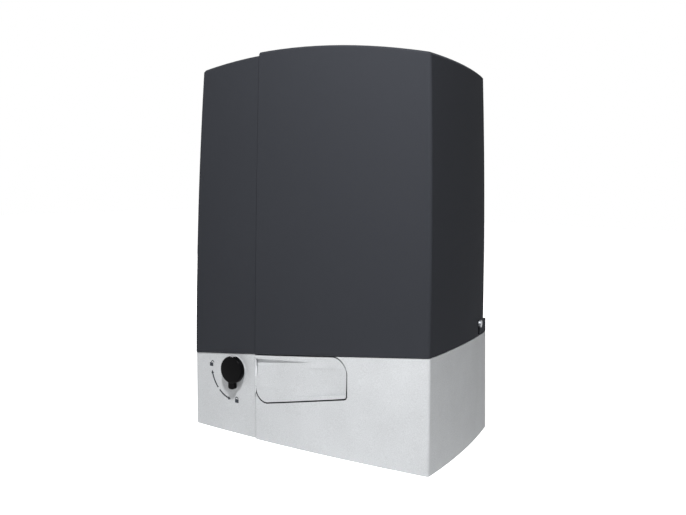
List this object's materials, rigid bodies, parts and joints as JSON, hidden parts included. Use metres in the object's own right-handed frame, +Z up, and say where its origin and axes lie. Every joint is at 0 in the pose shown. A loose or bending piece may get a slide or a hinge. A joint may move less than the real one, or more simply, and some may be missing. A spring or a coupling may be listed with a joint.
{
  "type": "sliding gate motor",
  "caption": "Sliding gate motor with a crowned cover on a cast base, a keyed release flap, a worm gear drive and a rack pinion at the rear.",
  "frame": {"origin": "centre of the four anchor slots, on the base's underside", "axes": "+Z up, front faces -Y, the pinion stands out at +Y, X to the right seen from the front"},
  "size_m": [0.2889, 0.2295, 0.3939],
  "materials": {
    "satin_aluminium_paint": "satin, fine metallic speckle",
    "dark_grey_plastic": "satin moulded",
    "black_plastic": "gloss",
    "black_rubber": "matte",
    "steel": "zinc plated",
    "gear_steel": "machined",
    "bronze": "machined bronze",
    "chrome": "polished",
    "cast_aluminium": "as cast",
    "motor_paint": "satin black",
    "board_plastic": "matte",
    "board_green": "coated",
    "terminal_plastic": "moulded",
    "copper_tape": "wound tape"
  },
  "bodies": {
    "chassis": {"base_casting": "satin_aluminium_paint", "cover_screw_left": "steel", "cover_screw_right": "steel", "cable_grommet": "black_rubber", "levelling_screw_1": "steel", "levelling_screw_2": "steel", "levelling_screw_3": "steel", "levelling_screw_4": "steel", "flap_hinge_pin": "steel", "lock_housing": "chrome", "motor_body": "motor_paint", "motor_end_bell": "cast_aluminium", "encoder_sensor": "board_plastic", "worm_bearing_lower": "steel", "worm_bearing_upper": "steel", "gearcase_body": "cast_aluminium", "gearcase_cover": "cast_aluminium", "gearcase_screw_1": "steel", "gearcase_screw_2": "steel", "gearcase_screw_3": "steel", "gearcase_screw_4": "steel", "gearcase_screw_5": "steel", "output_bearing_front": "steel", "output_bearing_rear": "steel", "oil_seal": "black_rubber", "board_tray": "board_plastic", "control_board": "board_green", "terminal_block_1": "terminal_plastic", "terminal_block_2": "terminal_plastic", "terminal_block_3": "terminal_plastic", "relay_1": "board_plastic", "relay_2": "board_plastic", "capacitor": "board_plastic", "fuse_holder": "board_plastic", "transformer_coil": "copper_tape", "transformer_clamp": "steel"},
    "cover": {"cover": "dark_grey_plastic"},
    "flap": {"release_flap": "satin_aluminium_paint"},
    "cap": {"lock_cap": "black_plastic", "cap_hinge_pin": "steel"},
    "key": {"lock_barrel": "chrome", "lock_cam": "gear_steel"},
    "output": {"output_shaft": "steel", "shaft_key": "steel", "pinion": "gear_steel", "pinion_washer": "steel", "pinion_screw": "steel"},
    "wheel": {"worm_wheel": "bronze"},
    "worm": {"worm_shaft": "steel", "encoder_disc": "board_plastic"},
    "collar": {"clutch_collar": "gear_steel"},
    "rail": {"shift_rail": "steel", "shift_fork": "gear_steel"}
  },
  "joints": [
    {"name": "cover_lift", "type": "slide", "parent": "chassis", "child": "cover", "axis": [0, 0, 1], "range_m": [0, 0.3]},
    {"name": "flap_swing", "type": "hinge", "parent": "chassis", "child": "flap", "pos_m": [-0.0534, -0.0897, 0.07], "axis": [0, 0, -1], "range_deg": [0, 90]},
    {"name": "cap_flip", "type": "hinge", "parent": "chassis", "child": "cap", "pos_m": [-0.082, -0.094, 0.0819], "axis": [-1, 0, 0], "range_deg": [0, 100]},
    {"name": "key_turn", "type": "hinge", "parent": "chassis", "child": "key", "pos_m": [-0.082, -0.0896, 0.0691], "axis": [0, 1, 0], "range_deg": [0, 90]},
    {"name": "output_spin", "type": "hinge", "parent": "chassis", "child": "output", "pos_m": [0, 0, 0.07], "axis": [0, 1, 0], "continuous": true},
    {"name": "wheel_spin", "type": "hinge", "parent": "chassis", "child": "wheel", "pos_m": [0, 0, 0.07], "axis": [0, 1, 0], "continuous": true},
    {"name": "worm_spin", "type": "hinge", "parent": "chassis", "child": "worm", "pos_m": [0.058, 0.03, 0.07], "axis": [0, 0, 1], "continuous": true},
    {"name": "collar_shift", "type": "slide", "parent": "output", "child": "collar", "axis": [0, -1, 0], "range_m": [0, 0.007]},
    {"name": "rail_shift", "type": "slide", "parent": "chassis", "child": "rail", "axis": [0, -1, 0], "range_m": [0, 0.007]}
  ],
  "couplings": [
    {"joint": "collar_shift", "follows": "flap_swing", "m_per_rad": 0.0044519},
    {"joint": "rail_shift", "follows": "flap_swing", "m_per_rad": 0.0044519},
    {"joint": "wheel_spin", "follows": "output_spin", "ratio": 1},
    {"joint": "worm_spin", "follows": "output_spin", "ratio": -38}
  ]
}
